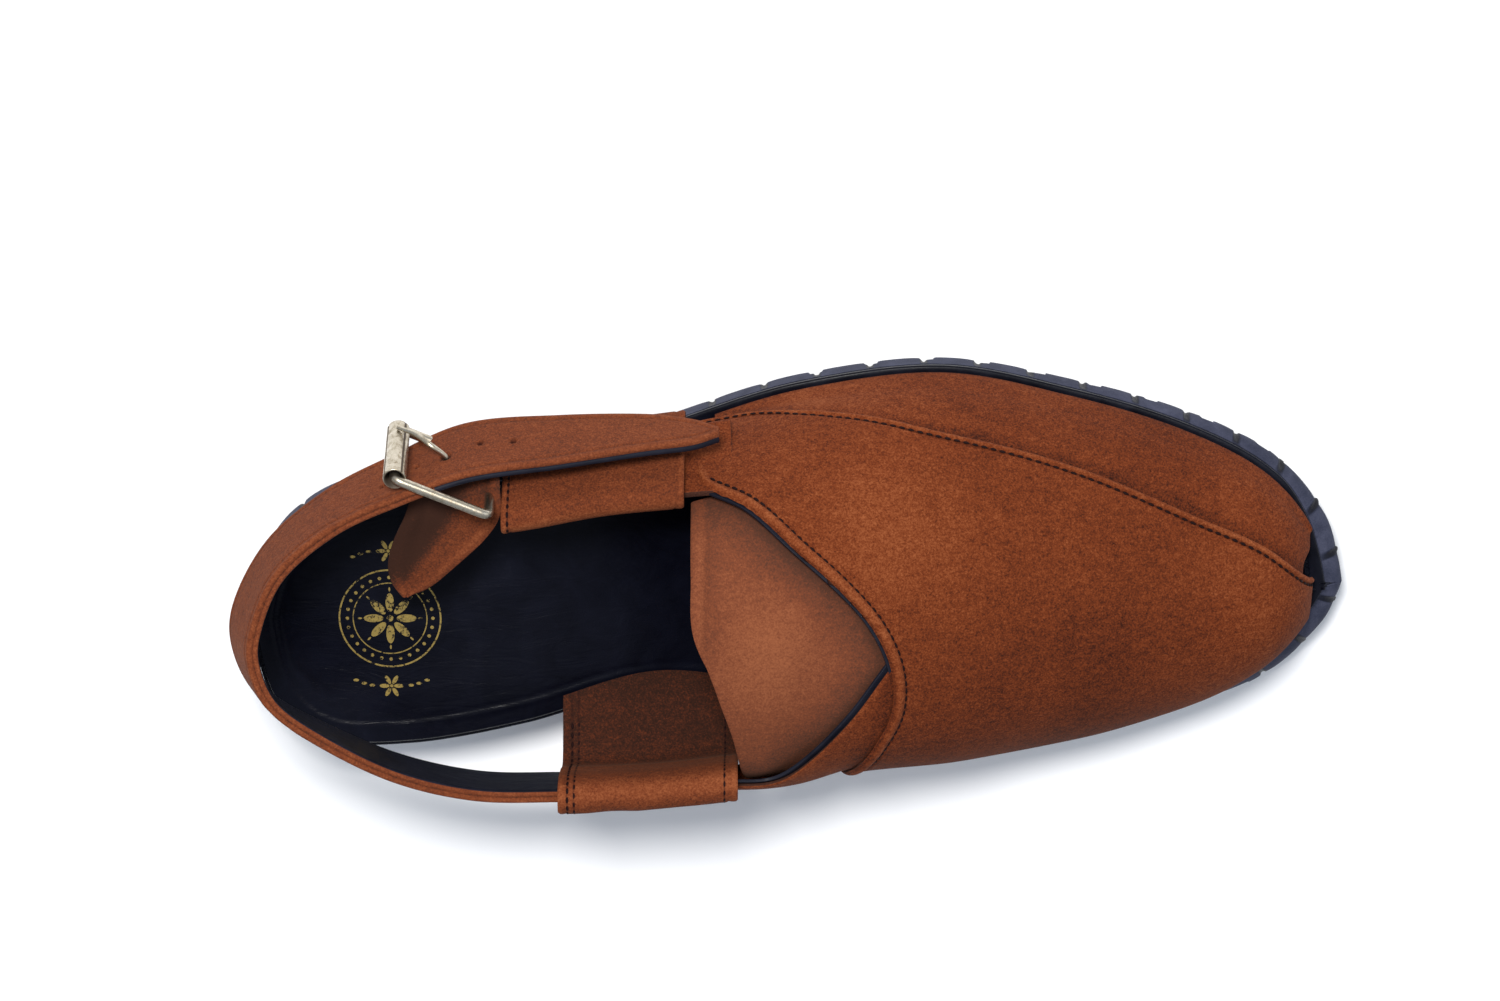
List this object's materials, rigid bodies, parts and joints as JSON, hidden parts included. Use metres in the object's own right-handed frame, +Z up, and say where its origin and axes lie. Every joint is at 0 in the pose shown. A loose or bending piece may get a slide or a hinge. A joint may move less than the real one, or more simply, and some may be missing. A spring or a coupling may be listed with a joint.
{
  "type": "peshawari chappal",
  "caption": "Left Peshawari chappal sandal: crossing suede panels, a tongue and a buckled heel strap through side loops on a lugged rubber sole.",
  "frame": {"origin": "on the ground under the middle of the shoe's bounding box", "axes": "+X to the toe, +Y to the outer (lateral) side, +Z up"},
  "size_m": [0.2898, 0.1098, 0.0717],
  "materials": {
    "rubber": "dusty grey moulded rubber",
    "black_leather": "black glazed leather, softly creased",
    "suede": "rust brown suede, matt nap",
    "buckle_metal": "aged pale brass, worn bright on the edges"
  },
  "bodies": {
    "root": {"outsole": "rubber", "heel": "rubber", "midsole": "black_leather", "insole": "black_leather", "upper": "suede", "tongue": "suede", "heel_strap": "suede", "loop_medial": "suede", "loop_lateral": "suede", "buckle_frame": "buckle_metal", "buckle_roller": "buckle_metal", "buckle_prong": "buckle_metal", "buckle_tab": "suede"}
  },
  "joints": []
}
